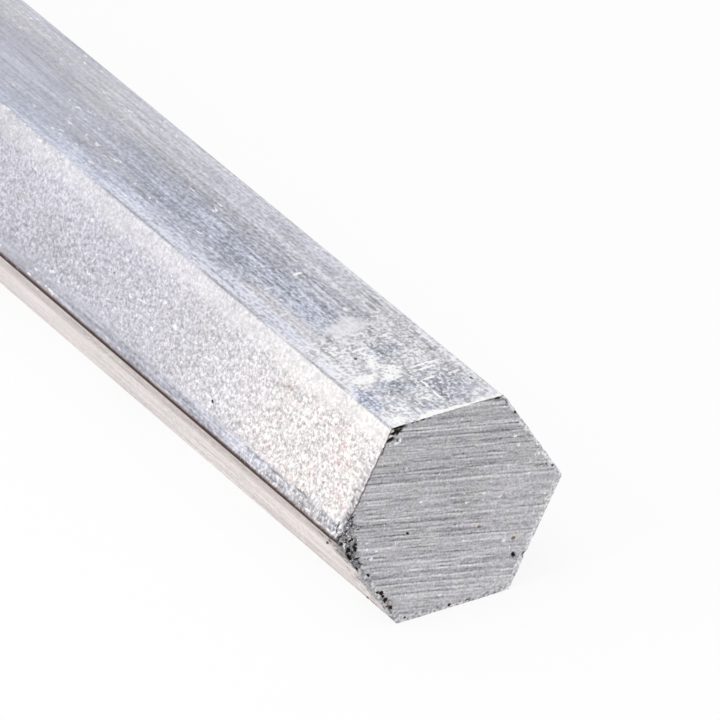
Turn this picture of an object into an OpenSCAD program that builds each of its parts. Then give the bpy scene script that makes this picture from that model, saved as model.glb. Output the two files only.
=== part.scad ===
// Hexagonal bar stock, sawn to length, lying on one of its six flats.
// X runs along the bar and Z is up. The origin is the middle of the flat that the bar lies on.

/* [Section] */
// Size across the flats (3/4 in stock)
across_flats = 19.05; // [6:0.05:60]
// Radius of the six drawn corners, tangent to the flats
corner_radius = 0.3; // [0.1:0.05:1.5]

/* [Length] */
// Length between the two sawn ends (12 in piece)
bar_length = 304.8; // [25:0.1:3000]

/* [Hidden] */

sides = 6;
side_angle = 360 / sides;
arc_facets = 48;

// From the bar's axis to a flat, and from the axis to the centre of a corner's radius
apothem = across_flats / 2;
corner_centre = (apothem - corner_radius) / cos(side_angle / 2);

// Point at a radius and an angle in the section
function polar(radius, angle) = radius * [cos(angle), sin(angle)];

// The two points where one corner's radius runs out into its flats
function tangent_points(corner) = [
    for (lean = [-1, 1])
        polar(corner_centre, corner * side_angle)
            + polar(corner_radius, (corner + lean / 2) * side_angle)
];

// Outline with each corner cut straight across between its tangent points
module flats_outline() {
    polygon([for (corner = [0 : sides - 1]) each tangent_points(corner)]);
}

// The round of one drawn corner
module corner_round(corner) {
    translate(polar(corner_centre, corner * side_angle))
        circle(r = corner_radius, $fn = arc_facets);
}

// Full section of the bar, with corners at left and right, so that two flats lie level
module bar_section() {
    flats_outline();
    for (corner = [0 : sides - 1])
        corner_round(corner);
}

// The bar is one solid, cut square at both ends
module hex_bar() {
    color("lightsteelblue")
        translate([-bar_length / 2, 0, apothem])
            rotate([90, 0, 90])
                linear_extrude(height = bar_length)
                    bar_section();
}

hex_bar();
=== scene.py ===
"""Hexagonal bar stock: one drawn aluminium bar with two sawn ends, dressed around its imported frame.

X runs along the bar, Z is up, and the end at +X is the one that faces the camera. Sizes are in
millimetres until a mesh, lamp or camera is made, which turns them to metres.
"""

import math
from collections import namedtuple
from types import SimpleNamespace

import bpy
import numpy as np
from mathutils import Matrix, Vector
from mathutils.geometry import delaunay_2d_cdt


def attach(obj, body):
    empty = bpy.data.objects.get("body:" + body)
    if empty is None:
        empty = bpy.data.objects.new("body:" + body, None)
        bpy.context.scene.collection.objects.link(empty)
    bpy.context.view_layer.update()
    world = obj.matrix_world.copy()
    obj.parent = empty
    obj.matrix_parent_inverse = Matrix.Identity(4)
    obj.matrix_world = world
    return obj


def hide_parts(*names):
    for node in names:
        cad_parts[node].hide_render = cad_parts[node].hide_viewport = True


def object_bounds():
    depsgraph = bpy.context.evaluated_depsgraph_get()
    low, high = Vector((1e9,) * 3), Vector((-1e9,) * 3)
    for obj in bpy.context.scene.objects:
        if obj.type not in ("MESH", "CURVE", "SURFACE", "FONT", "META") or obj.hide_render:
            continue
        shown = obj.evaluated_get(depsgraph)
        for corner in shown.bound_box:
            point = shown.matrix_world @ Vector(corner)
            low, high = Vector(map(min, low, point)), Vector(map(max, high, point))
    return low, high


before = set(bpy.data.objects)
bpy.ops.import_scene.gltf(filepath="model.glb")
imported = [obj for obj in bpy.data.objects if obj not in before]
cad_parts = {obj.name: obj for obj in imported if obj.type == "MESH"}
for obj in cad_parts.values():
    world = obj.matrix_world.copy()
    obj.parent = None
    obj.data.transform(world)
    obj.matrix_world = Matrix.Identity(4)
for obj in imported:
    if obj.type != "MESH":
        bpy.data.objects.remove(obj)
cad_low, cad_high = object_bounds()

MM = 0.001

# Section and length, read from the frame
LENGTH = (cad_high.x - cad_low.x) / MM
ACROSS_FLATS = (cad_high.z - cad_low.z) / MM
ACROSS_CORNERS = (cad_high.y - cad_low.y) / MM
APOTHEM = ACROSS_FLATS / 2
SIDES = 6
HALF_SIDE_ANGLE = math.pi / SIDES
SHARP_WIDTH = ACROSS_FLATS / math.cos(HALF_SIDE_ANGLE)
CORNER_RADIUS = (SHARP_WIDTH - ACROSS_CORNERS) / (2 / math.cos(HALF_SIDE_ANGLE) - 2)
SIDE_LENGTH = ACROSS_FLATS * math.tan(HALF_SIDE_ANGLE)
ARC_RUN = CORNER_RADIUS * math.tan(HALF_SIDE_ANGLE)
SHOWN_END = LENGTH / 2

# Mesh density
FLAT_SEGMENTS = 44
ARC_SEGMENTS = 6
SAW_ROW_STEP = 0.1
SAW_POINT_STEP = 0.33
SPOT_POINT_STEP = 0.11

# Flats in order round the section, anticlockwise from the corner at +Y as seen from the shown end
UPPER_RIGHT, TOP, UPPER_LEFT, LOWER_LEFT, BOTTOM, LOWER_RIGHT = range(SIDES)
FLAT_FACING = 2 * HALF_SIDE_ANGLE * np.arange(SIDES) + HALF_SIDE_ANGLE
FLAT_NORMALS = np.column_stack([np.cos(FLAT_FACING), np.sin(FLAT_FACING)])
# Tone of each flat; the top flat's is lowered as painted shade, for the dim surroundings that it reflects
TONE_OF_FLAT = np.array([0.69, 0.66, 0.80, 0.80, 0.75, 0.78])
# Share of grain against drawing lines on each flat
GRAIN_OF_FLAT = np.array([0.25, 0.1, 1.0, 0.1, 0.3, 0.8])
# Share of warm tint on each flat; on the lower flats it is a painted warm reflection of the ground
WARMTH_OF_FLAT = np.array([0.1, 0.0, 0.0, 0.7, 0.4, 0.3])
# Share of handling wear near the ends on each flat
WEAR_OF_FLAT = np.array([0.6, 1.0, 0.15, 0.2, 0.7, 0.4])
# Height of the lip that the saw raised on each flat
LIP_OF_FLAT = np.array([0.15, 0.06, 0.02, 0.02, 0.0, 0.05])
# How far the saw's burr stands out past each edge of a sawn end
BURR_OF_FLAT = np.array([0.0, 0.05, 0.18, 0.0, 0.0, 0.0])
# Length of the torn strip at the end of each flat
TORN_OF_FLAT = np.array([0.8, 0.0, 0.8, 2.1, 1.2, 1.0])
# Width of the ragged strip along each flat's edge of a sawn end
RAGGED_OF_FLAT = np.array([0.3, 0.2, 0.25, 0.9, 0.8, 0.5])

# The saw went across the end at this slope
SAW_SLOPE = math.radians(-12.2)


def rows_of(make, *rows):
    """One spot, patch or mark from each row of its values."""
    return [make(*row) for row in rows]


# Marks on the sawn ends

# A spot on a sawn end: its middle from the axis, its half sizes, its turn in degrees, its depth or strength
Spot = namedtuple("Spot", "y z half_length half_width turn amount", defaults=(0, 1.0))
# Places of the shown end broken to torn metal
SHOWN_CHIPS = rows_of(
    Spot,
    # Left corner broken off
    (-11.6, 0.0, 4.5, 2.8, 90, 0.22), (-9.6, -1.05, 1.1, 0.7, 105, 0.4),
    (-9.15, -2.5, 0.9, 0.4, 118, 0.3),
    # Notch at the lower right
    (7.15, -6.45, 0.28, 0.22, 60, 0.1),
)
# Dents and pits of the shown end
SHOWN_DENTS = rows_of(
    Spot,
    # Three torn grooves at the upper left corner
    (-4.69, 9.36, 0.75, 0.15, 3, 0.25), (-5.02, 9.0, 0.68, 0.16, 7, 0.25),
    (-5.56, 8.49, 0.48, 0.16, 17, 0.25),
    # Pits along the lower left edge
    (-6.73, -6.25, 0.42, 0.28, 110, 0.18), (-6.42, -6.94, 0.32, 0.26, 120, 0.18),
    (-5.95, -7.75, 0.38, 0.22, 150, 0.18),
    # Pit at the lower right
    (6.14, -6.3, 0.42, 0.24, 120, 0.4),
    # Blunted upper right corner
    (5.75, 9.3, 0.8, 0.4, 120, 0.12), (6.6, 7.55, 0.4, 0.18, 150, 0.1),
)
# Black pits and torn grooves
SHOWN_PITS = rows_of(
    Spot,
    (-9.6, -0.15, 0.4, 0.13, 20), (-10.41, -0.28, 0.19, 0.19), (-9.14, -0.62, 0.19, 0.19, 0, 0.8),
    (-9.74, -1.14, 0.34, 0.32, 100), (-9.15, -1.16, 0.38, 0.18, 95), (-9.69, -1.83, 0.3, 0.22, 100),
    (-8.97, -1.98, 0.25, 0.12, 0, 0.9), (-9.06, -3.09, 0.18, 0.18, 0, 0.8),
    (-8.03, -3.98, 0.22, 0.15, 100), (-8.69, -2.69, 0.25, 0.12, 0, 0.8),
    (-8.9, 0.79, 0.3, 0.15, 0, 0.6), (-9.15, 1.3, 0.22, 0.22, 0, 0.55),
    (-9.4, 1.97, 0.3, 0.2, 110, 0.55), (5.05, 9.38, 0.62, 0.1, -2, 0.9),
    (-7.2, -5.86, 0.17, 0.13, 0, 0.9), (-6.78, -6.13, 0.27, 0.24), (-6.68, -6.43, 0.24, 0.2, 100),
    (-6.42, -6.94, 0.27, 0.22, 30), (-6.33, -7.52, 0.18, 0.14, 0, 0.8), (-5.93, -7.77, 0.26, 0.18, 150),
    (6.14, -6.28, 0.42, 0.22, 120), (7.1, -6.4, 0.2, 0.18, 0, 0.8), (-0.3, -9.2, 0.22, 0.2),
    (-4.62, -9.09, 0.18, 0.18, 0, 0.9), (-4.15, -1.0, 0.22, 0.12, 90, 0.8),
    (5.8, 8.75, 0.4, 0.13, 110, 0.7), (6.6, 7.5, 0.35, 0.15, 150, 0.65),
    (10.1, 1.25, 0.35, 0.14, 150, 0.6), (9.0, 1.7, 1.3, 0.09, -15, 0.6),
    (1.5, -9.2, 0.5, 0.18, 10, 0.5),
)
# Rust-brown specks
SHOWN_BROWN = rows_of(
    Spot,
    (2.75, -2.5, 0.2, 0.18), (6.1, -4.6, 0.26, 0.2), (-6.15, -7.5, 0.35, 0.18, 120, 0.6),
)
# Bright specks
SHOWN_GLINTS = rows_of(
    Spot,
    (6.55, 5.2, 0.24, 0.18), (6.85, 4.25, 0.22, 0.18), (8.85, 2.85, 0.2, 0.2), (7.75, 1.25, 0.18, 0.14),
    (7.95, 2.35, 0.2, 0.15, 0, 0.7), (5.7, 2.55, 0.2, 0.15, 0, 0.6), (3.3, 0.6, 0.22, 0.16),
    (1.65, 0.2, 0.2, 0.15), (4.9, -0.2, 0.22, 0.16, 0, 0.8), (9.25, -1.2, 0.2, 0.16, 0, 0.7),
    (-2.8, 1.6, 0.24, 0.16), (-7.75, -2.45, 0.22, 0.17), (-7.2, -1.85, 0.2, 0.17, 0, 0.8),
    (-8.1, -1.45, 0.2, 0.16, 0, 0.9), (-8.1, -0.8, 0.18, 0.16, 0, 0.8), (-5.3, -1.7, 0.3, 0.2, 0, 0.5),
    (5.15, -4.55, 0.24, 0.2), (1.25, -3.4, 0.2, 0.16), (5.7, -5.5, 0.5, 0.12, 90, 0.6),
    (-1.2, -7.95, 0.24, 0.16), (-9.72, -0.39, 0.2, 0.17), (-9.38, -0.74, 0.17, 0.17),
    (-10.3, 1.6, 0.35, 0.16, 125), (-10.6, 1.15, 0.3, 0.14, 100), (-9.8, 2.4, 0.3, 0.14, 110),
)
# Brighter regions
SHOWN_LIGHT = rows_of(
    Spot,
    (9.0, -2.0, 8.0, 7.0), (0.0, -10.0, 9.0, 5.0),
)


def random_spots(seed, count, sizes, amounts, rim_share):
    """Spots scattered over an end, beyond a share of the way out to its rim."""
    generator = np.random.default_rng(seed)
    spots = []
    for angle in generator.uniform(0, 2 * math.pi, count):
        off_middle = (angle % (2 * HALF_SIDE_ANGLE)) - HALF_SIDE_ANGLE
        reach = APOTHEM / math.cos(off_middle) * math.sqrt(generator.uniform(rim_share ** 2, 1))
        spots.append(Spot(
            y=reach * math.cos(angle), z=reach * math.sin(angle),
            half_length=generator.uniform(*sizes), half_width=generator.uniform(*sizes) / 2,
            turn=generator.uniform(0, 180), amount=generator.uniform(*amounts),
        ))
    return spots


# A sawn end: the way it faces, the seed of its noise, and its spots
End = namedtuple("End", "outward seed chips dents pit glint brown light")
SHOWN = End(1, 310, SHOWN_CHIPS, SHOWN_DENTS, SHOWN_PITS, SHOWN_GLINTS, SHOWN_BROWN, SHOWN_LIGHT)
# Scattered spots of the far end: their seed, count, sizes, amounts and least share of the way to the rim
FAR_SPOTS = {
    "chips": (321, 8, (0.5, 1.2), (0.15, 0.5), 0.97),
    "dents": (326, 8, (0.3, 0.6), (0.1, 0.3), 0.8),
    "pit": (322, 18, (0.2, 0.5), (0.7, 1.0), 0.6),
    "glint": (323, 24, (0.2, 0.4), (0.5, 1.0), 0.0),
    "brown": (324, 3, (0.3, 0.5), (0.8, 1.0), 0.0),
    "light": (325, 2, (7.0, 9.0), (0.8, 1.0), 0.5),
}
FAR = End(outward=-1, seed=330, **{kind: random_spots(*row) for kind, row in FAR_SPOTS.items()})


# Marks on the flats

# A patch on a flat: its middle from the shown end and from the flat's upper or left corner, its half sizes
# and its strength
Patch = namedtuple("Patch", "from_end from_corner half_along half_across strength", defaults=(1.0,))
# Smooth pale patches, with the lip that the saw raised; those along the shown end's edge are partly a painted
# highlight on that lip
PATCHES = {
    TOP: rows_of(
        Patch,
        (0.0, 5.6, 1.1, 4.8, 1.15), (0.0, 9.0, 0.7, 2.8, 1.05), (0.9, 1.1, 1.3, 1.2),
        (2.2, 2.0, 1.6, 1.2, 0.7), (8.6, 2.3, 1.3, 1.6, 1.15), (10.6, 1.9, 2.8, 1.7, 0.5),
        (8.6, 4.8, 1.7, 1.4, 1.0), (10.8, 4.4, 2.4, 0.9, 1.1),
    ),
    UPPER_LEFT: rows_of(
        Patch,
        (0.35, 9.5, 0.45, 0.35, 1.0), (0.5, 10.2, 0.45, 0.3, 0.9),
    ),
}
# Rough pale scuffs
SCUFFS = {
    TOP: rows_of(
        Patch,
        (1.4, 1.2, 2.1, 1.1), (2.4, 2.3, 2.0, 1.2, 0.9), (8.4, 2.0, 1.3, 1.3),
        (10.8, 1.9, 3.4, 2.0, 0.75), (8.6, 4.8, 1.9, 1.5), (11.4, 4.5, 2.6, 0.9),
        (3.6, 5.4, 1.2, 0.8, 0.8), (14.8, 3.0, 2.8, 2.4, 0.8), (14.6, 7.0, 2.4, 2.2, 0.5),
        (10.3, 8.0, 1.8, 1.6, 0.7), (23.0, 2.0, 8.0, 1.2, 0.3),
    ),
    UPPER_LEFT: rows_of(
        Patch,
        (1.6, 9.0, 2.0, 1.0, 0.5),
    ),
}
# Darker, bluer patches
STAINS = {
    TOP: rows_of(
        Patch,
        (5.4, 0.9, 2.8, 1.3, 1.7), (6.2, 0.6, 1.4, 0.5, 1.6), (4.0, 7.8, 3.8, 2.4, 0.7),
        (1.8, 4.9, 1.2, 1.2, 0.7), (6.4, 4.0, 1.6, 2.2, 0.8), (12.4, 6.2, 2.0, 1.8, 0.6),
        (19.3, 7.8, 2.4, 0.5, 0.7), (40.0, 3.5, 16.0, 1.3, 0.4),
    ),
    UPPER_LEFT: rows_of(
        Patch,
        (0.9, 9.9, 1.5, 0.9, 0.8), (1.6, 8.6, 0.8, 0.5, 0.9), (0.6, 8.3, 0.9, 0.9, 1.2),
        (3.4, 9.9, 1.2, 0.6, 0.8),
    ),
}
# Brighter, smoother patches
LIGHTS = {
    TOP: rows_of(
        Patch,
        (10.0, 2.8, 3.6, 2.4, 0.3), (15.4, 5.0, 2.0, 2.2, 0.25), (17.3, 4.9, 1.8, 1.5, 0.9),
        (17.8, 6.4, 2.0, 1.5, 0.9),
    ),
    LOWER_LEFT: rows_of(
        Patch,
        (1.9, 7.2, 1.0, 0.7, 0.5), (3.6, 8.6, 1.4, 0.9, 0.5),
    ),
}


def scattered_patches(seed, count, at_far_end):
    """Patches near one end of a flat, most of them close to it."""
    usual_reach, longest_reach = 7.0, 30.0
    generator = np.random.default_rng(seed)
    patches = []
    for from_end in np.minimum(generator.exponential(usual_reach, count), longest_reach):
        patches.append(Patch(
            from_end=LENGTH - from_end if at_far_end else from_end,
            from_corner=generator.uniform(0.5, SIDE_LENGTH - 0.5),
            half_along=generator.uniform(0.8, 2.8), half_across=generator.uniform(0.6, 1.6),
            strength=generator.uniform(0.3, 0.9),
        ))
    return patches


SCATTERED_SCUFFS = 14
for flat in range(SIDES):
    SCUFFS.setdefault(flat, []).extend(scattered_patches(700 + flat, SCATTERED_SCUFFS, at_far_end=True))
for flat in (UPPER_RIGHT, LOWER_RIGHT, BOTTOM):
    SCUFFS[flat].extend(scattered_patches(720 + flat, SCATTERED_SCUFFS, at_far_end=False))


def add_object(name, data):
    """A new object in the scene."""
    made = bpy.data.objects.new(name, data)
    bpy.context.scene.collection.objects.link(made)
    return made


# Camera, as the photograph was taken


def make_camera():
    """Camera on the shown end, from the right and above, with a long lens."""
    azimuth, elevation, roll = map(math.radians, (61.45, 28.93, -1.87))
    distance = 1109.5
    aim_behind_end = 0.12
    axis_right, axis_up = -7.562, 12.658
    focal_pixels, image_pixels = 13087, 720

    back = Vector((
        math.sin(azimuth) * math.cos(elevation),
        -math.cos(azimuth) * math.cos(elevation),
        math.sin(elevation),
    ))
    level_right = Vector((math.cos(azimuth), math.sin(azimuth), 0))
    level_up = back.cross(level_right)
    right = level_right * math.cos(roll) + level_up * math.sin(roll)
    up = level_up * math.cos(roll) - level_right * math.sin(roll)
    aim = Vector((SHOWN_END - aim_behind_end, 0, APOTHEM))

    data = bpy.data.cameras.new("photo_camera")
    data.sensor_width = 36
    data.lens = data.sensor_width * focal_pixels / image_pixels
    data.clip_end = 100
    camera = add_object("photo_camera", data)
    place = aim + right * axis_right + up * axis_up + back * distance
    turn = Matrix((right, up, back)).transposed().to_4x4()
    camera.matrix_world = Matrix.Translation(place * MM) @ turn
    bpy.context.scene.camera = camera


# Node trees


class Nodes:
    """Short forms for building the node tree of one material or world."""

    def __init__(self, owner):
        owner.use_nodes = True
        self.tree = owner.node_tree
        self.tree.nodes.clear()
        self.position = None

    def add(self, kind, inputs=(), **settings):
        """A node with its settings, and its inputs by name or number set to a value or linked to a socket."""
        node = self.tree.nodes.new("ShaderNode" + kind)
        for name, value in settings.items():
            setattr(node, name, value)
        for key, value in dict(inputs).items():
            self.feed(node.inputs[key], value)
        return node

    def feed(self, socket, value):
        """Sets a socket to a value, or links it to another node's output."""
        if isinstance(value, bpy.types.NodeSocket):
            self.tree.links.new(value, socket)
        else:
            socket.default_value = value

    def math(self, operation, first, second=0.0):
        return self.add("Math", {0: first, 1: second}, operation=operation).outputs[0]

    def vector(self, operation, first, second):
        return self.add("VectorMath", {0: first, 1: second}, operation=operation).outputs[0]

    def scale(self, vector, factor):
        return self.add("VectorMath", {0: vector, "Scale": factor}, operation="SCALE").outputs[0]

    def fields(self, *names):
        """The mesh's own numbers, by these names."""
        return SimpleNamespace(**{
            name: self.add("Attribute", attribute_name=name).outputs["Fac"] for name in names
        })

    def noise(self, cells, detail=1.0, at=None):
        """Noise from 0 to 1, with the size of its cells along X, Y and Z in millimetres."""
        position = self.position if at is None else at
        scaled = self.vector("MULTIPLY", position, [1 / cell for cell in cells])
        return self.add("TexNoise", {"Vector": scaled, "Scale": 1.0, "Detail": detail}).outputs[0]

    def swing(self, cells, detail=1.0, at=None):
        """The same noise, about zero."""
        return self.math("SUBTRACT", self.noise(cells, detail, at), 0.5)

    def remap(self, value, low, high, out_low=0.0, out_high=1.0):
        """Eases a value between two limits to two others, and holds it there outside them."""
        return self.add("MapRange", {
            "Value": value, "From Min": low, "From Max": high, "To Min": out_low, "To Max": out_high,
        }, interpolation_type="SMOOTHSTEP").outputs[0]

    def patches(self, cells, low, high):
        """Patches where noise passes from a low limit to a high one."""
        return self.remap(self.noise(cells), low, high)

    def clamp(self, value, low, high):
        return self.math("MINIMUM", self.math("MAXIMUM", value, low), high)

    def product(self, first, *others):
        for other in others:
            first = self.math("MULTIPLY", first, other)
        return first

    def total(self, base, *terms):
        """A base with weighted products added to it, each as its factors and then its weight."""
        for *factors, weight in terms:
            inputs = {0: self.product(*factors), 1: weight, 2: base}
            base = self.add("Math", inputs, operation="MULTIPLY_ADD").outputs[0]
        return base

    def mix(self, share, first, second):
        """Goes from the first number to the second with the share."""
        return self.add("Mix", {0: share, 2: first, 3: second}).outputs[0]

    def mix_colour(self, share, first, second):
        return self.add("Mix", {0: share, 6: first, 7: second}, data_type="RGBA").outputs[2]

    def marks(self, places, position):
        """The strongest of several soft-edged ellipsoid marks."""
        result = 0.0
        for mark in places:
            local = self.add("Mapping", {
                "Vector": position,
                "Location": mark.centre,
                "Scale": mark.half_sizes,
                "Rotation": mark.turn,
            }, vector_type="TEXTURE").outputs[0]
            reach = self.add("VectorMath", {0: local}, operation="LENGTH").outputs["Value"]
            spot = self.remap(reach, 1.0, 0.5, 0.0, mark.strength)
            result = self.math("MAXIMUM", spot, result)
        return result


# Floor, world and lamps


def make_floor():
    """A wide pale floor that keeps the bar's shadow."""
    half_width = 20
    gap_below_bar = 0.02 * MM
    mesh = bpy.data.meshes.new("floor")
    corners = [(-half_width, -half_width, 0), (half_width, -half_width, 0),
               (half_width, half_width, 0), (-half_width, half_width, 0)]
    mesh.from_pydata(corners, [], [(0, 1, 2, 3)])
    floor = add_object("floor", mesh)
    floor.location.z = -gap_below_bar
    mesh.materials.append(floor_material())


def floor_material():
    """White where the camera or a reflection looks at it, with part of its lit shade kept for the shadow."""
    white_share = 0.86
    material = bpy.data.materials.new("floor")
    nodes = Nodes(material)
    path = nodes.add("LightPath").outputs
    seen = nodes.math("ADD", path["Is Camera Ray"], path["Is Glossy Ray"])
    seen = nodes.math("ADD", seen, path["Is Transmission Ray"])
    lit = nodes.add("BsdfDiffuse", {"Color": (0.92, 0.905, 0.895, 1)})
    white = nodes.add("Emission", {"Color": (1, 1, 1, 1), "Strength": 1.0})
    mix = nodes.add("MixShader", {
        0: nodes.math("MULTIPLY", seen, white_share), 1: lit.outputs[0], 2: white.outputs[0],
    })
    nodes.add("OutputMaterial", {"Surface": mix.outputs[0]})
    return material


def make_world():
    """Soft studio surroundings, pale at the horizon and cooler and dimmer overhead."""
    world = bpy.data.worlds.new("studio")
    bpy.context.scene.world = world
    nodes = Nodes(world)
    direction = nodes.add("TexCoord").outputs["Generated"]
    height = nodes.add("SeparateXYZ", {0: direction}).outputs["Z"]
    shades = nodes.add("ValToRGB", {0: height})
    stops = shades.color_ramp.elements
    stops[0].position, stops[0].color = 0.0, (0.74, 0.73, 0.73, 1)
    stops[1].position, stops[1].color = 1.0, (0.58, 0.60, 0.65, 1)
    stops.new(0.45).color = (0.735, 0.755, 0.82, 1)
    background = nodes.add("Background", {"Color": shades.outputs[0]})
    nodes.add("OutputWorld", {"Surface": background.outputs[0]})


def make_lamp(name, place, aim, size, power, colour, spread=180):
    """A square soft lamp at a place, aimed at a point, with the spread of its beam in degrees."""
    data = bpy.data.lights.new(name, "AREA")
    data.size = size * MM
    data.energy = power
    data.color = colour
    data.spread = math.radians(spread)
    lamp = add_object(name, data)
    lamp.location = Vector(place) * MM
    lamp.rotation_euler = (Vector(aim) - Vector(place)).to_track_quat("-Z", "Y").to_euler()


# Smooth steps and seeded noise


def smooth(share):
    """Eases a share from 0 to 1, flat at both ends."""
    share = np.clip(share, 0, 1)
    return share * share * (3 - 2 * share)


def ramp(value, zero_at, one_at):
    """Eases from 0 to 1 as a value goes from one place to the other."""
    return smooth((value - zero_at) / (one_at - zero_at))


def ridge(value, middle, half_width):
    """A smooth hump of height 1."""
    return np.exp(-np.square((value - middle) / half_width))


def lattice_noise(u, v, seed):
    """Smooth noise from -1 to 1 with one random value at each whole number of u and v."""
    generator = np.random.default_rng(seed)
    low_u, low_v = math.floor(u.min()), math.floor(v.min())
    shape = (math.ceil(u.max()) - low_u + 2, math.ceil(v.max()) - low_v + 2)
    values = generator.uniform(-1, 1, shape)
    cell_u, cell_v = np.floor(u).astype(int) - low_u, np.floor(v).astype(int) - low_v
    part_u, part_v = smooth(u - np.floor(u)), smooth(v - np.floor(v))
    near = values[cell_u, cell_v] * (1 - part_u) + values[cell_u + 1, cell_v] * part_u
    far = values[cell_u, cell_v + 1] * (1 - part_u) + values[cell_u + 1, cell_v + 1] * part_u
    return near * (1 - part_v) + far * part_v


def turned_axes(angle):
    """Unit directions along and across a line at an angle in the plane of an end."""
    along = np.array([math.cos(angle), math.sin(angle)])
    return along, np.array([-along[1], along[0]])


# The section's loop and the stations along the bar


def section_loop():
    """Points of the section in order, with each one's outward normal, flat and place across that flat."""
    rows = []
    centre = (APOTHEM - CORNER_RADIUS) / math.cos(HALF_SIDE_ANGLE)
    for flat in range(SIDES):
        corner = 2 * HALF_SIDE_ANGLE * flat
        for step in range(ARC_SEGMENTS):
            angle = corner + HALF_SIDE_ANGLE * (2 * step / ARC_SEGMENTS - 1)
            normal = math.cos(angle), math.sin(angle)
            y = centre * math.cos(corner) + CORNER_RADIUS * normal[0]
            z = centre * math.sin(corner) + CORNER_RADIUS * normal[1]
            past_middle = 2 * step >= ARC_SEGMENTS
            own = (flat, 0.0) if past_middle else ((flat - 1) % SIDES, SIDE_LENGTH)
            rows.append((y, z, *normal, *own))
        facing = corner + HALF_SIDE_ANGLE
        normal = math.cos(facing), math.sin(facing)
        for step in range(FLAT_SEGMENTS):
            place = ARC_RUN + (SIDE_LENGTH - 2 * ARC_RUN) * step / FLAT_SEGMENTS
            offset = place - SIDE_LENGTH / 2
            y = APOTHEM * normal[0] - offset * normal[1]
            z = APOTHEM * normal[1] + offset * normal[0]
            rows.append((y, z, *normal, flat, place))
    loop = np.array(rows)
    return loop[:, :2], loop[:, 2:4], loop[:, 4].astype(int), loop[:, 5]


def growing_run(start, stop, step, growth, widest):
    """Places from start to just past stop, with steps that grow up to the widest."""
    places = [start]
    while places[-1] < stop:
        places.append(places[-1] + min(step, widest))
        step *= growth
    return np.array(places)


def stations():
    """Distances from the shown end, closest together near the two sawn ends."""
    widest = 4.0
    shown = growing_run(start=0, stop=24, step=0.1, growth=1.06, widest=0.32)
    middle = growing_run(start=shown[-1], stop=110, step=0.4, growth=1.1, widest=2.0)
    far = LENGTH - growing_run(start=0, stop=30, step=0.12, growth=1.12, widest=widest)[::-1]
    count = math.ceil((far[0] - middle[-1]) / widest)
    gap = np.linspace(middle[-1], far[0], count + 1)
    return np.concatenate([shown, middle[1:], gap[1:], far[1:]])


# The loop and the stations, and where each of their points lies on the flats
POINTS, NORMALS, FLATS, ACROSS = section_loop()
FROM_SHOWN = stations()
ALONG, PLACE = np.meshgrid(FROM_SHOWN, ACROSS, indexing="ij")
NEAREST_END = np.minimum(ALONG, LENGTH - ALONG)
ON_TOP, ON_LEFT, ON_LOWER = FLATS == TOP, FLATS == UPPER_LEFT, FLATS == LOWER_LEFT
FROM_UPPER_LEFT = np.where(ON_TOP, SIDE_LENGTH - ACROSS, ACROSS)


# Relief of the flats

FINE_LINE_HEIGHT = 0.004
BROAD_LINE_HEIGHT = 0.005
EDGE_ROLL_DEPTH = 0.03
EDGE_ROLL_WIDTH = 2.0
BRUISE_HEIGHT = 0.006
LIP_LENGTH = 0.3
# The relief is set this far below the true flats
FLAT_SINK = 0.012


def flat_relief():
    """Height of the drawn surface over the true flats, outward, for each station and loop point."""
    height = np.zeros_like(ALONG)
    for flat in range(SIDES):
        here = FLATS == flat
        u, v, from_end = ALONG[:, here], PLACE[:, here], NEAREST_END[:, here]
        lines = FINE_LINE_HEIGHT * lattice_noise(u / 70, v / 0.25, 100 + flat)
        lines += BROAD_LINE_HEIGHT * lattice_noise(u / 120, v / 0.9, 200 + flat)
        rolled = EDGE_ROLL_DEPTH * ramp(np.minimum(v, SIDE_LENGTH - v), EDGE_ROLL_WIDTH, 0)
        bruised = BRUISE_HEIGHT * WEAR_OF_FLAT[flat] * ramp(from_end, 24, 16)
        bruised = bruised * lattice_noise(u / 0.7, v / 0.5, 400 + flat)
        lip = LIP_OF_FLAT[flat] * ridge(from_end, 0, LIP_LENGTH)
        lip = lip * (0.65 + 0.35 * lattice_noise(u / 100, v / 0.6, 500 + flat))
        height[:, here] = lines - rolled + bruised + lip - FLAT_SINK
    return height


# Relief and damage of the sawn ends

FINE_CUT_DEPTH = 0.010
BROAD_CUT_DEPTH = 0.012
CUT_WAVE_DEPTH = 0.02
# The cut is set this far behind the true end
CUT_SINK = 0.02
RAGGED_DEPTH = 0.04
BURR_WIDTH = 0.2
# Cell of the noise that breaks up the edges of spots, and how far it moves them
SPOT_ROUGH_CELL = 0.35
SPOT_RAGGEDNESS = 0.2
SPOT_SOFTNESS = 0.45


def spot_reach(points, spot):
    """Distance from a spot's middle, where 1 is its edge."""
    along, across = turned_axes(math.radians(spot.turn))
    offset = points - (spot.y, spot.z)
    return np.hypot(offset @ along / spot.half_length, offset @ across / spot.half_width)


def spot_share(points, spots, rough):
    """The strongest of several spots with soft, ragged edges."""
    share = np.zeros(len(points))
    edge = 1 + SPOT_RAGGEDNESS * rough
    for spot in spots:
        inside = smooth((edge - spot_reach(points, spot)) / SPOT_SOFTNESS)
        share = np.maximum(share, spot.amount * inside)
    return share


def even_noise(points, cell, seed):
    """Noise over an end with cells as wide as they are high."""
    return lattice_noise(points[:, 0] / cell, points[:, 1] / cell, seed)


def rim_wear(points, seed):
    """Depth of the ragged strip round the rim of an end, less the burr on some of its edges."""
    from_rim = APOTHEM - points @ FLAT_NORMALS.T
    strip = RAGGED_DEPTH * (1 - smooth(from_rim / RAGGED_OF_FLAT))
    burr = BURR_OF_FLAT * (1 - smooth(from_rim / BURR_WIDTH))
    return (np.max(strip, 1) - np.max(burr, 1)) * (1 + 0.8 * even_noise(points, 0.3, seed))


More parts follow.
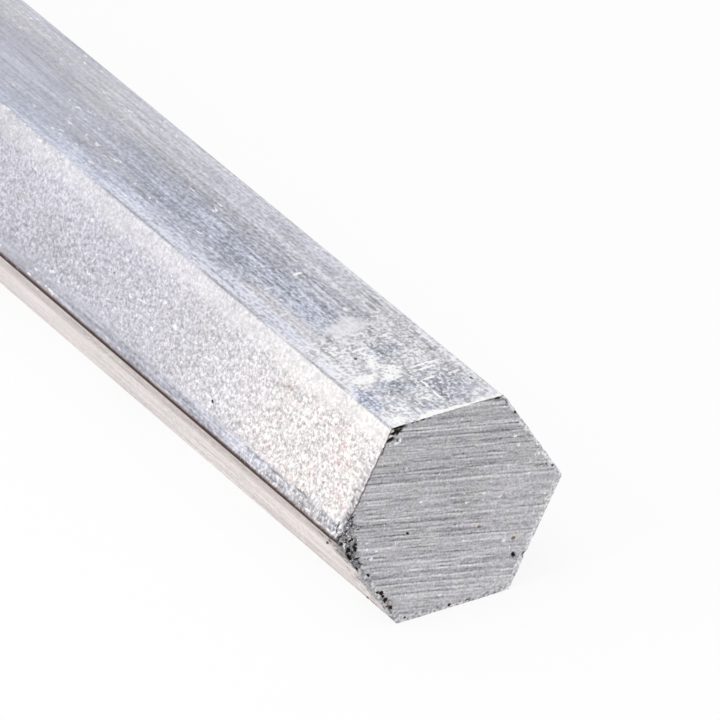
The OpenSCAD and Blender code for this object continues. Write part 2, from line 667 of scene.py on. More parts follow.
def end_recess(points, end):
    """Depth of an end's surface behind its true plane."""
    along, across = turned_axes(SAW_SLOPE)
    u, v = points @ along, points @ across
    lines = FINE_CUT_DEPTH * lattice_noise(u / 9, v / 0.14, end.seed)
    lines += BROAD_CUT_DEPTH * lattice_noise(u / 14, v / 0.42, end.seed + 1)
    waves = CUT_WAVE_DEPTH * lattice_noise(u / 20, v / 2.5, end.seed + 2)
    rough = even_noise(points, SPOT_ROUGH_CELL, end.seed + 3)
    grit = even_noise(points, 0.2, end.seed + 6)
    chipped = spot_share(points, end.chips + end.dents, rough) * (1 + 0.3 * rough + 0.25 * grit)
    return CUT_SINK - lines - waves + chipped + rim_wear(points, end.seed + 4)


def end_finish(points, end):
    """How the finish of an end varies, as one number for each point."""
    rough = even_noise(points, SPOT_ROUGH_CELL, end.seed + 3)
    broken = [chip._replace(amount=1.0) for chip in end.chips]
    return {
        "torn": spot_share(points, broken, rough),
        "pit": spot_share(points, end.pit, rough),
        "glint": spot_share(points, end.glint, 0.5 * rough),
        "brown": spot_share(points, end.brown, rough),
        "light": spot_share(points, end.light, rough),
    }


def saw_points(end):
    """Inner points of one end, in rows along the saw cut and closer together at its chips and specks."""
    half = ACROSS_CORNERS / 2
    sawn_beyond, fine_within = 1.3, 1.2
    sawn_margin, fine_margin, corner_margin = 0.13, 0.07, 0.2
    along, across = turned_axes(SAW_SLOPE)
    rows = np.arange(-half, half, SAW_ROW_STEP)
    row, step = np.meshgrid(rows, np.arange(-half, half, SAW_POINT_STEP), indexing="ij")
    step = step + SAW_POINT_STEP / 2 * (np.arange(len(rows)) % 2)[:, None]
    sawn = step.reshape(-1, 1) * along + row.reshape(-1, 1) * across

    places = np.arange(-half, half, SPOT_POINT_STEP)
    row, step = np.meshgrid(places, places, indexing="ij")
    fine = step.reshape(-1, 1) * along + row.reshape(-1, 1) * across

    spots = end.chips + end.dents + end.pit + end.glint + end.brown
    sawn = sawn[np.min([spot_reach(sawn, spot) for spot in spots], 0) > sawn_beyond]
    fine = fine[np.min([spot_reach(fine, spot) for spot in spots], 0) < fine_within]
    margin = np.repeat([sawn_margin, fine_margin], [len(sawn), len(fine)])
    every = np.concatenate([sawn, fine])
    inside = np.max(every @ FLAT_NORMALS.T, 1) < APOTHEM - margin
    in_corner_round = np.hypot(every[:, 0], every[:, 1]) < half - corner_margin
    return every[inside & in_corner_round]


def saw_triangles(loop, inner):
    """Triangles over the points of an end's loop and its inner points."""
    along, across = turned_axes(SAW_SLOPE)
    every = np.concatenate([loop, inner])
    squeeze = SAW_ROW_STEP / SAW_POINT_STEP / math.cos(HALF_SIDE_ANGLE)
    squeezed = np.column_stack([every @ along * squeeze, every @ across])
    rim = [(i, (i + 1) % len(loop)) for i in range(len(loop))]
    result = delaunay_2d_cdt([Vector(point) for point in squeezed], rim, [], 1, 1e-6)
    origin = [sources[0] for sources in result[3]]
    return np.array([[origin[i] for i in face] for face in result[2]])


# Building the mesh

# How far an end's relief carries on along the bar, and how far its damage does
END_FOLLOW = 3.0
TEAR_LENGTH = 0.7
LOWER_LEFT_TEAR_LENGTH = 1.6
TORN_DEPTH = 0.05


def bar_sides():
    """Places of the drawn surface for each station and loop point, and the numbers of its finish."""
    fields, height = finish_fields(), flat_relief()
    x = np.repeat(SHOWN_END - FROM_SHOWN[:, None], len(POINTS), 1)
    tear = np.where(ON_LOWER, LOWER_LEFT_TEAR_LENGTH, TEAR_LENGTH)
    for end, from_end in ((SHOWN, FROM_SHOWN), (FAR, LENGTH - FROM_SHOWN)):
        x -= end.outward * end_recess(POINTS, end) * np.clip(1 - from_end / END_FOLLOW, 0, 1)[:, None]
        fade = smooth(1 - from_end[:, None] / (tear * ragged_reach(from_end, end.seed + 5)))
        for name, values in end_finish(POINTS, end).items():
            fields[name] = np.maximum(fields.get(name, 0), values * fade)
    height -= TORN_DEPTH * fields["torn"]
    y = POINTS[:, 0] + NORMALS[:, 0] * height
    z = POINTS[:, 1] + NORMALS[:, 1] * height + APOTHEM
    return np.stack([x, y, z], -1), fields


def make_bar():
    """The whole bar as one closed mesh: the drawn flats, and a sawn cap at each end."""
    sides, fields = bar_sides()
    shape = ALONG.shape
    index = np.arange(ALONG.size).reshape(shape)
    turned = np.roll(index, -1, 1)
    quads = np.stack([index[:-1], index[1:], turned[1:], turned[:-1]], -1).reshape(-1, 4)

    vertices, faces = [sides.reshape(-1, 3)], quads.tolist()
    columns = {name: [np.broadcast_to(values, shape).ravel()] for name, values in fields.items()}
    next_index = index.size
    for end, rim in ((SHOWN, index[0]), (FAR, index[-1])):
        inner = saw_points(end)
        recessed = end.outward * (SHOWN_END - end_recess(inner, end))
        vertices.append(np.column_stack([recessed, inner[:, 0], inner[:, 1] + APOTHEM]))
        finish = end_finish(inner, end)
        for name, column in columns.items():
            column.append(finish.get(name, np.zeros(len(inner))))
        lookup = np.concatenate([rim, np.arange(next_index, next_index + len(inner))])
        next_index += len(inner)
        triangles = lookup[saw_triangles(POINTS, inner)]
        faces += triangles[:, ::end.outward].tolist()

    mesh = bpy.data.meshes.new("hex_bar_stock")
    mesh.from_pydata((np.concatenate(vertices) * MM).tolist(), [], faces)
    mesh.polygons.foreach_set("material_index", (np.arange(len(faces)) >= len(quads)).astype(int))
    mesh.shade_smooth()
    mark_sharp_rims(mesh, index[0], index[-1])
    for name, column in columns.items():
        set_attribute(mesh, name, np.concatenate(column))

    return add_object("hex_bar_stock", mesh)


def ragged_reach(from_end, seed):
    """How far damage at an end reaches along the flats, about 1, for each station and loop point."""
    along, place = np.meshgrid(from_end / 0.6, ACROSS / 0.5, indexing="ij")
    return 1 + 0.8 * lattice_noise(along, place, seed)


# Finish of the flats

# How far apart the flats lie in noise that each has of its own
FLAT_GAP = 20


def flat_noise(cell_along, cell_across, seed, gap=FLAT_GAP):
    return lattice_noise(ALONG / cell_along, PLACE / cell_across + gap * FLATS, seed)


def patch_share(patches_of_flat, seed):
    """The strongest of several patches with soft, wandering edges."""
    shift = 0.4 * flat_noise(0.9, 0.9, seed)
    share = np.zeros(ALONG.shape)
    for flat, patches in patches_of_flat.items():
        here = FLATS == flat
        from_end = ALONG[:, here] + shift[:, here]
        from_corner = FROM_UPPER_LEFT[here] + shift[:, here]
        for patch in patches:
            reach = np.hypot(
                (from_end - patch.from_end) / patch.half_along,
                (from_corner - patch.from_corner) / patch.half_across,
            )
            share[:, here] = np.maximum(share[:, here], patch.strength * ramp(reach, 1, 0.5))
    return share


def pale_bands():
    """Pale bands on both sides of the upper left corner, with edges that soften with the distance."""
    waver = 0.3 * flat_noise(7, 1, 605)
    width = np.where(ON_TOP, 1.7, 2.0)
    softness = 0.6 + 0.6 * ramp(ALONG, 15, 45)
    band = smooth((width + waver - FROM_UPPER_LEFT) / softness + 0.5)
    return band * (ON_TOP | ON_LEFT)


def drawn_strip():
    """The upper left flat's plain strip along the left corner, which softens with the distance."""
    width = 1.5
    softness = 0.5 + 2.0 * ramp(ALONG, 25, 65)
    return smooth((ACROSS - SIDE_LENGTH + width) / softness + 0.5) * ON_LEFT


def corner_lines():
    """Thin dark lines: painted shade along the left corner, and a broken dark line at the upper left corner.
    """
    line_from_corner = 0.16
    left_corner_place = (-ACROSS_CORNERS / 2, 0)
    upper_line_place = (-SIDE_LENGTH / 2 + line_from_corner, APOTHEM)
    # Painted shade along the left corner
    seam = ramp(np.linalg.norm(POINTS - left_corner_place, axis=1), 0.27, 0.13)
    crease = ramp(np.linalg.norm(POINTS - upper_line_place, axis=1), 0.22, 0.10)
    broken = smooth(0.6 + flat_noise(5, 1, 620, gap=0))
    return seam, crease * broken * ramp(ALONG, 62, 46)


def torn_strips():
    """Torn metal at the ends of the flats, which stops short of the upper left flat's upper part."""
    length = TORN_OF_FLAT[FLATS]
    tear = length * (1 + 1.2 * flat_noise(0.8, 0.7, 615))
    torn = smooth((tear - NEAREST_END) / 0.5 + 0.5) * (length > 0)
    return torn * (1 - ON_LEFT * ramp(ACROSS, 6, 3.5))


def chewed_corner():
    """Bruised metal of the upper left flat round the broken left corner."""
    half_along, half_across = 5.0, 3.0
    reach = np.hypot(ALONG / half_along, (SIDE_LENGTH - ACROSS) / half_across)
    return smooth(1.4 - 1.4 * reach) * ON_LEFT


def handling_wear(*rough_places):
    """Wear that reaches in from the ends, and takes in rough places."""
    ragged = 3 * flat_noise(3, 2, 600)
    worn = WEAR_OF_FLAT[FLATS] * ramp(NEAREST_END - ragged, 22, 14)
    for rough in rough_places:
        worn = np.maximum(worn, rough)
    return worn


def lower_bands():
    """Share of painted shade, and the change of tone, over the bands of the lower left flat, with a painted
    contact shadow along its lower edge near the shown end.
    """
    past_shade = ACROSS - 2.4 - 0.022 * np.minimum(ALONG, 60)
    shade = ramp(past_shade, 1.2, -1.2)
    # Painted contact shadow along the lower edge, by the floor
    contact_shadow = ridge(ACROSS, 10.1, 0.5) * ramp(ALONG, 24, 10)
    tone = 0.06 * ridge(past_shade, 1.4, 0.8) - 0.12 * contact_shadow
    tone = tone - (0.16 + 0.04 * ramp(ALONG, 42, 52)) * shade
    tone = tone - 0.025 * ramp(ALONG, 30, 20) - 0.02 * ramp(ALONG, 7, 4)
    return shade, ON_LOWER * tone


def top_tone(band, worn, pale_strip):
    """Change of tone over the top flat, from its pale band to its worn end."""
    streak = 0.25 - 0.03 * ramp(ALONG, 14, 22) - 0.17 * ramp(ALONG, 40, 72)
    tone = streak * band + (1 - band) * (0.03 * ramp(ALONG, 40, 20) + 0.10 * pale_strip)
    tone = tone + 0.09 * ramp(ACROSS, 4, 2) + 0.065 * ramp(ACROSS, 1.5, 0.3) + 0.08 * ramp(ALONG, 3.2, 2.0)
    tone = tone - worn * (0.06 + 0.05 * ramp(FROM_UPPER_LEFT, 5.5, 7.0))
    return ON_TOP * tone


def left_tone(band, bloom, strip):
    """Change of tone over the upper left flat, from its pale band to its plain strip. Its changes along the
    bar are partly painted light, which falls off away from the shown end.
    """
    banded = 0.045 - 0.085 * ramp(ALONG, 14, 38)
    plain = 0.16 * bloom - 0.15 + ramp(ALONG, 22, 52) * (0.07 - 0.012 * ACROSS)
    dip = 0.04 + 0.22 * ramp(ALONG, 18, 10) - 0.07 * ramp(ALONG, 24, 32)
    return ON_LEFT * (banded * band + plain * (1 - band)) - strip * dip


def blue_share(band, pale_strip):
    """Share of blue tint on the top flat, along its middle and far along its upper left corner."""
    middle = ridge(FROM_UPPER_LEFT, 4.6, 2.3) * (0.95 - 0.33 * ramp(ALONG, 40, 60))
    corner = (0.25 + 0.98 * ramp(ALONG, 35, 67)) * ramp(FROM_UPPER_LEFT, 3.5, 0.5)
    return ON_TOP * (0.2 + middle + corner - 0.7 * pale_strip * (1 - band))


def warm_share(shade):
    """Share of warm tint, mottled near the shown end of the upper left flat, and a painted warm reflection of
    the ground on the lower flats.
    """
    mottled = smooth(0.5 + flat_noise(2.5, 1.6, 610, gap=0))
    warmth = WARMTH_OF_FLAT[FLATS] + ON_LEFT * ramp(ALONG, 22, 8) * (0.25 + 0.6 * mottled)
    return warmth + ON_LOWER * (0.3 * shade - 0.22 * ramp(ALONG, 15, 35))


def finish_fields():
    """How the finish varies over the flats, as one number for each station and loop point."""
    band, strip = pale_bands(), drawn_strip()
    torn_end, chewed = torn_strips(), chewed_corner()
    seam, crease = corner_lines()
    shade, lower_tone = lower_bands()
    pale = patch_share(LIGHTS, 660)
    worn = handling_wear(chewed, torn_end, 0.8 * strip * ramp(ALONG, 24, 14))
    # Grainy bloom near the shown end of the upper left flat, which also lifts the tone there as painted light
    bloom = np.where(ON_LEFT, 0.95 * ramp(ALONG, 42, -6), 0.5)
    pale_strip = ramp(FROM_UPPER_LEFT, 3.4, 2.6) * ramp(ALONG, 9, 13) * ramp(ALONG, 31, 25)
    tone = TONE_OF_FLAT[FLATS] + top_tone(band, worn, pale_strip)
    tone = tone + left_tone(band, bloom, strip) + lower_tone
    # The lavender tint that grows along the upper left flat is painted cooler light away from the shown end;
    # along the plain strip it is the finish
    lilac = np.maximum(ramp(ALONG, 12, 44), strip * ramp(ALONG, 2, 16))
    untouched = (1 - strip) * (1 - chewed) * (1 - 0.7 * torn_end) * (1 - pale)
    return {
        "tone": tone - torn_end * np.where(ON_LEFT, 0.27, 0.48),
        "grain": GRAIN_OF_FLAT[FLATS] * (1 - strip) * (1 - 0.8 * chewed) * (1 - torn_end),
        "bloom": bloom,
        "dashed": ramp(NEAREST_END, 75, 25),
        "worn": worn,
        "band": band,
        "warmth": warm_share(shade) * untouched,
        "blue": blue_share(band, pale_strip) * (1 - 0.75 * worn) * (1 - pale),
        "lilac": lilac * ON_LEFT * (1 - 0.5 * band),
        "seam": seam,
        "crease": crease,
        "patch": patch_share(PATCHES, 630),
        "scuff": patch_share(SCUFFS, 640),
        "stain": patch_share(STAINS, 650) + 0.5 * strip * ramp(ALONG, 6, 20),
        "pale": pale,
    }


def set_attribute(mesh, name, values):
    """Stores one number for each vertex, for the materials."""
    layer = mesh.attributes.new(name, "FLOAT", "POINT")
    layer.data.foreach_set("value", np.ascontiguousarray(values, np.float32))


def mark_sharp_rims(mesh, *loops):
    """Keeps the shading crisp where the sawn ends meet the flats."""
    on_rim = np.zeros(len(mesh.vertices), int)
    for number, loop in enumerate(loops, 1):
        on_rim[loop] = number
    ends = np.zeros(len(mesh.edges) * 2, np.int32)
    mesh.edges.foreach_get("vertices", ends)
    ends = on_rim[ends.reshape(-1, 2)]
    sharp = (ends[:, 0] > 0) & (ends[:, 0] == ends[:, 1])
    layer = mesh.attributes.new("sharp_edge", "BOOLEAN", "EDGE")
    layer.data.foreach_set("value", sharp)


# Sharp marks

# A soft-edged mark: its middle, its half sizes along its own axes, the turn of those axes, and its strength
Mark = namedtuple("Mark", "centre half_sizes turn strength")


def flat_mark(flat, from_end, from_corner, half_along, half_across, strength=1.0, slant=0.0):
    """A mark on a flat, placed from the shown end and from the flat's upper or left corner."""
    facing = Vector((0, *FLAT_NORMALS[flat]))
    along = Vector((-1, 0, 0))
    across = along.cross(facing) if flat == TOP else facing.cross(along)
    off_middle = from_corner - SIDE_LENGTH / 2
    centre = Vector((SHOWN_END, 0, APOTHEM)) + along * from_end + facing * APOTHEM + across * off_middle
    turn = Matrix.Rotation(math.radians(slant), 3, along.cross(across))
    axes = turn @ Matrix((along, across, along.cross(across))).transposed()
    return Mark(centre, (half_along, half_across, 0.6), axes.to_euler(), strength)


def flat_marks(rows_of_flat):
    return [flat_mark(flat, *row) for flat, rows in rows_of_flat.items() for row in rows]


def end_mark(y, z, half_length, half_width, turn=0.0, strength=1.0):
    """A mark on the shown end, placed from the bar's axis."""
    centre = (SHOWN_END, y, z + APOTHEM)
    return Mark(centre, (1.4, half_length, half_width), (math.radians(turn), 0, 0), strength)


# Thin pale scratches on the top flat
SCRATCHES = flat_marks({
    TOP: [
        (3.0, 6.3, 1.4, 0.18), (5.2, 6.37, 1.1, 0.17), (6.0, 7.16, 0.22, 1.0),
        (5.4, 7.9, 0.5, 0.18, 0.8), (5.8, 9.45, 0.2, 0.85, 0.8), (8.37, 8.0, 0.23, 2.1),
        (7.7, 8.0, 0.23, 2.0), (3.1, 5.4, 0.24, 0.7, 0.9), (4.3, 2.2, 1.2, 0.14, 0.6),
        (7.5, 4.5, 0.35, 0.8, 0.9), (15.9, 5.8, 0.22, 0.8, 0.8), (13.4, 4.5, 0.26, 1.3),
        (20.3, 7.1, 0.6, 0.2, 0.8), (14.5, 7.7, 0.35, 0.8, 0.9), (22.3, 2.1, 0.26, 0.7, 0.6),
        (27.1, 3.3, 0.24, 0.6, 0.65), (28.1, 6.7, 0.3, 0.6, 0.9), (24.3, 5.1, 0.24, 0.5, 0.45),
        (30.9, 4.8, 0.24, 0.7, 0.45),
    ],
})
# Small dark specks and streaks
DARK_SPECKS = flat_marks({
    TOP: [
        (16.3, 3.25, 0.9, 0.2, 0.45), (19.6, 9.2, 1.2, 0.25, 0.4), (20.2, 10.0, 1.5, 0.25, 0.35),
        (4.1, 10.2, 0.3, 0.14, 0.9), (10.3, 9.8, 0.3, 0.12, 0.6), (12.2, 3.5, 0.35, 0.16, 0.8),
        (13.2, 9.3, 0.3, 0.14, 0.5),
    ],
    UPPER_LEFT: [
        (23.9, 8.5, 0.28, 0.2), (44.2, 5.3, 0.2, 0.15, 0.6), (7.4, 9.5, 1.7, 0.15, 0.5),
        (11.2, 9.7, 2.2, 0.13, 0.45), (15.5, 9.65, 2.6, 0.12, 0.4), (3.6, 10.35, 0.6, 0.22, 0.4),
        (6.7, 10.3, 0.6, 0.2, 0.45),
    ],
    LOWER_LEFT: [
        (4.0, 2.5, 1.3, 0.18, 1.0, 40), (4.6, 10.5, 1.1, 0.18, 1.0, 40),
    ],
})
# Black grooves and specks at the torn upper left corner of the sawn end
NICK_GROOVES = rows_of(
    end_mark,
    (-4.68, 9.37, 0.95, 0.26, 3), (-5.02, 8.98, 0.88, 0.22, 7), (-5.55, 8.46, 0.62, 0.23, 17),
    (-6.17, 7.94, 0.3, 0.15, 65), (-4.64, 8.98, 0.58, 0.12, 39), (-6.3, 7.45, 0.45, 0.1, 68, 0.7),
    (-3.31, 9.46, 0.2, 0.1, 0, 0.9), (-2.9, 9.46, 0.2, 0.09, 0, 0.8), (-2.35, 9.46, 0.26, 0.11),
    (-1.7, 9.42, 0.28, 0.07, -5, 0.7), (-4.88, 8.23, 0.1, 0.2, 0, 0.8),
)
# Bright slivers between them
NICK_SLIVERS = rows_of(
    end_mark,
    (-5.4, 9.19, 0.42, 0.14, 5), (-5.62, 8.73, 0.46, 0.17, 12), (-4.94, 7.94, 0.32, 0.15, 5),
    (-4.58, 8.15, 0.15, 0.32, 0, 0.9),
)


# Materials


def new_metal(name):
    """A material of the bar, and its node tree with positions in millimetres."""
    material = bpy.data.materials.new(name)
    nodes = Nodes(material)
    nodes.position = nodes.scale(nodes.add("TexCoord").outputs["Object"], 1 / MM)
    return material, nodes


def jittered(nodes, cell, amount):
    """Positions shifted a little, so that marks get broken edges."""
    shift = nodes.product(nodes.swing((cell, cell, cell), detail=2.0), amount)
    shifts = nodes.add("CombineXYZ", {0: shift, 1: shift, 2: shift})
    return nodes.vector("ADD", nodes.position, shifts.outputs[0])


def torn_tone(nodes):
    """Tone of torn metal: dull and gritty, with black cracks and bright broken edges."""
    crack = nodes.patches((0.34, 0.30, 0.30), 0.44, 0.36)
    grit = nodes.swing((0.20, 0.17, 0.17))
    bright = nodes.patches((0.30, 0.24, 0.24), 0.62, 0.68)
    tone = nodes.mix(bright, nodes.total(0.33, (grit, 0.9)), 0.9)
    return nodes.mix(crack, tone, 0.06)


# Tones that no place goes past, and those of bared metal and of dirt and painted shade
DARKEST, BRIGHTEST = 0.015, 0.98
BARE_TONE = 0.95
SHADE_AND_DIRT_TONE = 0.02
PIT_TONE = 0.025

# Size of the cells of each noise on the drawn flats, along and across the bar
DRAWN_CELLS = {
    "fine": (6.0, 0.26), "long": (50.0, 0.8), "dash": (0.5, 0.24), "cloud": (14.0, 5.0),
    "blot": (2.2, 1.1), "crumple": (0.34, 0.32), "hue": (25.0, 1.5), "chroma": (0.5, 0.6),
}
# Tints of the drawn flats
NEUTRAL_TINT = (1.0, 0.985, 0.995, 1)
BLUE_TINT = (0.955, 0.98, 1.07, 1)
LILAC_TINT = (0.975, 0.972, 1.06, 1)
STAIN_TINT = (0.90, 0.945, 1.085, 1)
CREAM_TINT = (1.02, 0.995, 0.942, 1)
PINK_TINT = (1.08, 0.955, 0.948, 1)
BARE_TINT = (1.02, 1.0, 0.965, 1)
# Brownish tint of the painted shade along the left corner
CORNER_SHADE_TINT = (1.25, 0.95, 0.90, 1)


def drawn_noises(nodes):
    """The noises of the drawn flats, by name, with their fine speckle."""
    noise = SimpleNamespace(**{
        name: nodes.swing((along, across, across))
        for name, (along, across) in DRAWN_CELLS.items()
    })
    coarse = nodes.swing((0.42, 0.34, 0.34), detail=0.0)
    sparkle = nodes.swing((0.2, 0.18, 0.18), detail=0.0)
    noise.speck = nodes.total(0.0, (coarse, 0.7), (sparkle, 0.7))
    return noise


def drawn_tone(nodes, field, noise):
    """Tone of the drawn flats, with lines along the bar on some and grain on others."""
    blue_dashes = nodes.total(0.5, (field.blue, 0.5))
    dashes = nodes.total(0.3, (field.dashed, blue_dashes, 0.9), (field.worn, -0.6))
    fine = nodes.total(0.38, (field.dashed, 0.3))
    crumple = nodes.math("MAXIMUM", noise.crumple, -0.08)
    lines = nodes.total(nodes.product(noise.dash, dashes), (noise.fine, fine, 1.0), (noise.long, 0.3))
    lines = nodes.total(lines, (noise.blot, field.worn, 0.5), (crumple, field.worn, 1.4))
    contrast = nodes.total(1.0, (field.warmth, -0.12), (field.pale, -0.5), (field.band, 0.2))
    grain = nodes.total(0.68, (field.bloom, 0.40), (field.band, -0.20), (field.bloom, field.band, -0.4))
    grain = nodes.total(nodes.product(noise.speck, grain), (noise.blot, field.band, 0.2))
    texture = nodes.mix(field.grain, nodes.product(lines, contrast), grain)
    tone = nodes.total(field.tone, (texture, 1.0), (noise.cloud, 0.15))
    return nodes.total(tone, (field.stain, -0.15), (field.pale, 0.3))


def bared_metal(nodes, field, noise):
    """Share of bared, pale metal: scuffs, smooth patches, scratches and small flecks."""
    broken = nodes.total(0.0, (noise.crumple, 1.2), (noise.dash, 0.6))
    bare = nodes.product(field.scuff, nodes.remap(broken, -0.04, 0.11))
    patch = nodes.remap(nodes.total(field.patch, (broken, 1.4)), 0.40, 1.15)
    scratch = nodes.marks(SCRATCHES, jittered(nodes, 0.5, 0.25))
    scratch = nodes.product(scratch, nodes.remap(noise.crumple, -0.2, -0.08))
    tick = nodes.product(nodes.patches((0.22, 1.1, 1.1), 0.60, 0.72), field.worn, 0.6)
    flake = nodes.product(nodes.patches((0.42, 0.34, 0.34), 0.56, 0.64), field.worn, 0.75)
    region = nodes.patches((12.0, 3.0, 3.0), 0.46, 0.58)
    fleck = nodes.product(nodes.patches((0.9, 0.35, 0.35), 0.64, 0.72), region, 0.7)
    for other in (patch, scratch, tick, flake, fleck):
        bare = nodes.math("MAXIMUM", bare, other)
    return bare


def drawn_tint(nodes, field, noise, bare):
    """Tint of the drawn flats."""
    blue = nodes.total(field.blue, (noise.hue, 1.2), (bare, -1.0), (field.grain, -0.5))
    blue = nodes.total(blue, (noise.blot, field.worn, 2.0))
    tint = nodes.mix_colour(nodes.clamp(blue, 0.0, 1.0), NEUTRAL_TINT, BLUE_TINT)
    tint = nodes.mix_colour(field.lilac, tint, LILAC_TINT)
    tint = nodes.mix_colour(nodes.product(field.stain, 0.65), tint, STAIN_TINT)
    off_band = nodes.total(1.0, (field.band, -1.0))
    pink = nodes.product(nodes.patches((1.1, 0.8, 0.8), 0.40, 0.60), off_band)
    warm = nodes.total(field.warmth, (noise.chroma, field.grain, 1.6))
    tint = nodes.mix_colour(nodes.clamp(warm, 0.0, 1.0), tint, nodes.mix_colour(pink, CREAM_TINT, PINK_TINT))
    plain = nodes.math("MAXIMUM", bare, nodes.product(field.pale, 0.6))
    # The painted shade along the left corner gets its brownish tint
    return nodes.mix_colour(field.seam, nodes.mix_colour(plain, tint, BARE_TINT), CORNER_SHADE_TINT)


def drawn_material():
    """The drawn flats: fine lines along the bar, a grainy bloom, and wear near the ends."""
    material, nodes = new_metal("drawn_aluminium")
    field = nodes.fields(
        "tone", "grain", "bloom", "band", "dashed", "worn", "warmth", "blue", "lilac",
        "seam", "crease", "torn", "patch", "scuff", "stain", "pale",
    )
    noise = drawn_noises(nodes)
    bare = bared_metal(nodes, field, noise)
    tone = nodes.mix(bare, drawn_tone(nodes, field, noise), BARE_TONE)
    tone = nodes.mix(field.torn, tone, torn_tone(nodes))
    specks = nodes.marks(DARK_SPECKS, jittered(nodes, 0.4, 0.3))
    # Darkens the painted shade along the left corner, the dark line at the upper left corner and the dirty
    # specks
    for shade_and_dirt in (nodes.product(field.seam, 0.90), nodes.product(field.crease, 0.4), specks):
        tone = nodes.mix(shade_and_dirt, tone, SHADE_AND_DIRT_TONE)
    tint = drawn_tint(nodes, field, noise, bare)

    matte = nodes.math("MAXIMUM", nodes.product(bare, 0.92), nodes.product(field.worn, 0.3))
    dashes = nodes.total(0.3, (field.worn, 0.7))
    height = nodes.total(0.0, (noise.speck, 0.4), (noise.fine, 0.4), (noise.dash, dashes, 1.0))
    bump = nodes.add("Bump", {"Strength": 0.35, "Distance": 0.02 * MM, "Height": height})
    shader = nodes.add("BsdfPrincipled", {
        "Base Color": nodes.scale(tint, nodes.clamp(tone, DARKEST, BRIGHTEST)),
        "Metallic": nodes.math("SUBTRACT", 1.0, matte),
        "Roughness": nodes.total(0.54, (noise.dash, 0.2), (field.seam, 0.2), (field.torn, 0.05)),
        "Specular Tint": (0.87, 0.82, 0.81, 1),
        "Normal": bump.outputs[0],
    })
    nodes.add("OutputMaterial", {"Surface": shader.outputs[0]})
    return material


# Depth of the cells of noise on the sawn ends, and their sizes along and across the cut
CUT_CELL_DEPTH = 9.0
CUT_CELLS = {
    "long": (30.0, 0.38), "fine": (6.0, 0.23), "dash": (0.7, 0.22), "dust": (0.22, 0.21),
    "lump": (0.5, 0.34),
}
# Sets of thin saw lines: their spacing, shift and change of tone
SAW_LINES = ((0.32, 0.0, -0.17), (0.32, 0.17, 0.15), (0.38, 7.3, -0.13), (0.38, 19.1, 0.15))
# Tone of the ragged strips along the edges of an end
RAGGED_TONES = {LOWER_LEFT: 0.48, BOTTOM: 0.51, LOWER_RIGHT: 0.68, UPPER_RIGHT: 0.66}
# Tints of the sawn ends, and the colour of rust
COOL_CUT_TINT = (0.995, 0.975, 1.03, 1)
PLAIN_CUT_TINT = (1.0, 0.992, 1.004, 1)
PIT_TINT = (1.15, 0.96, 0.90, 1)
RUST = (0.20, 0.11, 0.045, 1)


def rim_distance(nodes, flat):
    """Distance of a place on an end from the plane of one flat."""
    normal = (0, *FLAT_NORMALS[flat])
    from_axis = nodes.vector("SUBTRACT", nodes.position, (0, 0, APOTHEM))
    reach = nodes.add("VectorMath", {0: from_axis, 1: normal}, operation="DOT_PRODUCT").outputs["Value"]
    return nodes.math("SUBTRACT", APOTHEM, reach)


def saw_lines(nodes, turned, spacing, shift):
    """Thin straight lines along the cut, which fade in and out."""
    moved = nodes.vector("ADD", turned, (0, 0, shift))
    line = nodes.noise((CUT_CELL_DEPTH, 150.0, spacing), detail=0.0, at=moved)
    presence = nodes.swing((CUT_CELL_DEPTH, 2.6, 0.5), detail=3.0, at=moved)
    return nodes.remap(nodes.total(line, (presence, 0.9)), 0.57, 0.73)


def cut_tone(nodes, turned, light, noise):
    """Tone of the saw cut, with weaker lines where it is light."""
    cloud = nodes.swing((CUT_CELL_DEPTH, 6.0, 5.0))
    tone = nodes.total(0.49, (noise.long, 0.24), (noise.dash, 0.26), (noise.dust, 0.52), (cloud, 0.12))
    fine = nodes.total(0.40, (light, -0.14))
    tone = nodes.total(tone, (light, 0.05), (noise.fine, fine, 1.0), (noise.lump, light, 0.28))
    clear = nodes.total(1.0, (light, -0.4))
    for spacing, shift, change in SAW_LINES:
        tone = nodes.total(tone, (saw_lines(nodes, turned, spacing, shift), clear, change))
    return tone


def with_ragged_strips(nodes, tone, dust):
    """The tone with gritty strips along the edges of the end."""
    grit = nodes.swing((2.0, 0.3, 0.3))
    waver = nodes.product(nodes.swing((2.0, 0.8, 0.8)), 1.2)
    for flat, ragged_tone in RAGGED_TONES.items():
        inward = nodes.math("ADD", rim_distance(nodes, flat), waver)
        zone = nodes.remap(inward, RAGGED_OF_FLAT[flat], 0.5 * RAGGED_OF_FLAT[flat])
        tone = nodes.mix(zone, tone, nodes.total(ragged_tone, (grit, 1.2), (dust, 0.5)))
    return tone


def rim_shadow_line(nodes):
    """Painted shadow: a broken dark line just inside the upper left edge of an end, at the foot of the burr
    there.
    """
    edge = rim_distance(nodes, UPPER_LEFT)
    line = nodes.product(nodes.remap(edge, 0.36, 0.22), nodes.remap(edge, 0.02, 0.12))
    return nodes.product(line, nodes.patches((3.0, 0.8, 0.8), 0.32, 0.5))


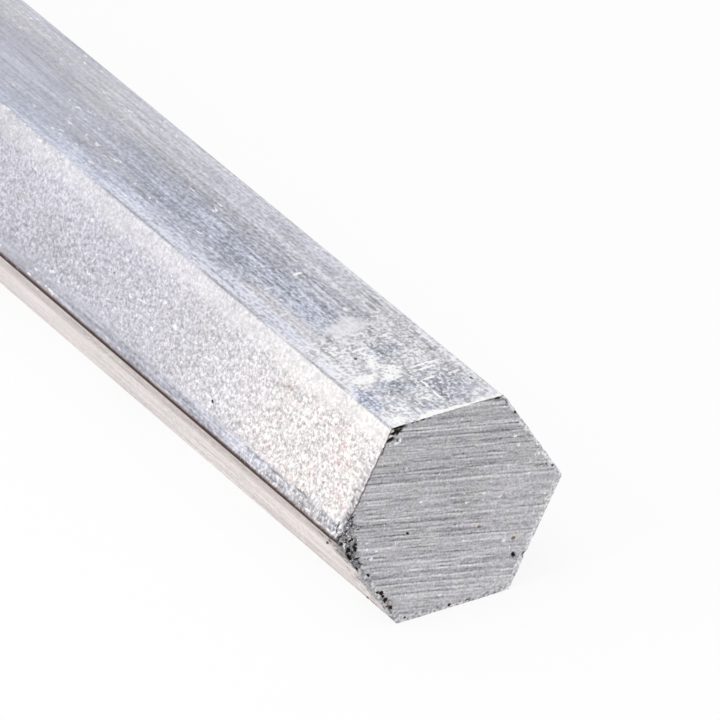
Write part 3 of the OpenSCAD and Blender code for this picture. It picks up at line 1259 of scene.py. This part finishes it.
def sawn_material():
    """The sawn ends: lines along the cut, bright specks, pits and a ragged rim."""
    material, nodes = new_metal("sawn_aluminium")
    field = nodes.fields("torn", "pit", "glint", "brown", "light")
    turned = nodes.add("Mapping", {"Vector": nodes.position, "Rotation": (-SAW_SLOPE, 0, 0)}).outputs[0]
    noise = SimpleNamespace(**{
        name: nodes.swing((CUT_CELL_DEPTH, *cells), at=turned) for name, cells in CUT_CELLS.items()
    })
    tone = cut_tone(nodes, turned, field.light, noise)
    tone = with_ragged_strips(nodes, tone, noise.dust)

    spark = nodes.patches((2.0, 0.26, 0.24), 0.71, 0.78)
    ragged = nodes.swing((2.0, 0.2, 0.2))
    glint = nodes.remap(nodes.total(field.glint, (ragged, 0.8)), 0.40, 0.58)
    pit = nodes.remap(nodes.total(field.pit, (ragged, 0.8)), 0.33, 0.66)
    torn = nodes.remap(nodes.total(field.torn, (ragged, 0.8)), 0.10, 0.40)
    tone = nodes.mix(nodes.product(nodes.math("MAXIMUM", glint, spark), 0.85), tone, BARE_TONE)
    tone = nodes.mix(torn, tone, torn_tone(nodes))
    sliver = nodes.marks(NICK_SLIVERS, nodes.position)
    tone = nodes.mix(sliver, tone, BARE_TONE)
    groove = nodes.product(nodes.marks(NICK_GROOVES, nodes.position), nodes.total(1.0, (sliver, -0.85)))
    # The painted shadow line inside the upper left edge is darkened along with the pits and grooves
    for dark in (nodes.product(rim_shadow_line(nodes), 0.55), groove):
        pit = nodes.math("MAXIMUM", pit, dark)
    tone = nodes.clamp(nodes.mix(pit, tone, PIT_TONE), DARKEST, BRIGHTEST)

    hue = nodes.patches((3.0, 2.2, 2.2), 0.35, 0.65)
    tint = nodes.mix_colour(hue, COOL_CUT_TINT, PLAIN_CUT_TINT)
    tint = nodes.mix_colour(pit, tint, PIT_TINT)
    unpitted = nodes.math("SUBTRACT", 1.0, pit)
    metal = nodes.total(1.0, (glint, -0.6), (field.brown, -0.9), (sliver, unpitted, -0.8))
    height = nodes.total(noise.fine, (noise.long, 0.8), (noise.dash, 0.5))
    bump = nodes.add("Bump", {"Strength": 0.4, "Distance": 0.03 * MM, "Height": height})
    shader = nodes.add("BsdfPrincipled", {
        "Base Color": nodes.mix_colour(field.brown, nodes.scale(tint, tone), RUST),
        "Metallic": metal,
        "Roughness": nodes.total(0.5, (noise.fine, -0.3), (torn, 0.1)),
        "Normal": bump.outputs[0],
    })
    nodes.add("OutputMaterial", {"Surface": shader.outputs[0]})
    return material


make_camera()
make_floor()
make_world()
make_lamp(
    "side_lamp", place=(100, -200, 120), aim=(130, 0, 10), size=200, power=0.066,
    colour=(1, 0.955, 0.90), spread=90,
)
make_lamp("top_lamp", place=(300, -200, 1200), aim=(0, 0, 10), size=800, power=4.0, colour=(1, 1, 1))

bar = make_bar()
bar.data.materials.append(drawn_material())
bar.data.materials.append(sawn_material())
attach(bar, "root")
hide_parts("hex_bar")

bpy.context.scene.view_settings.view_transform = "Standard"
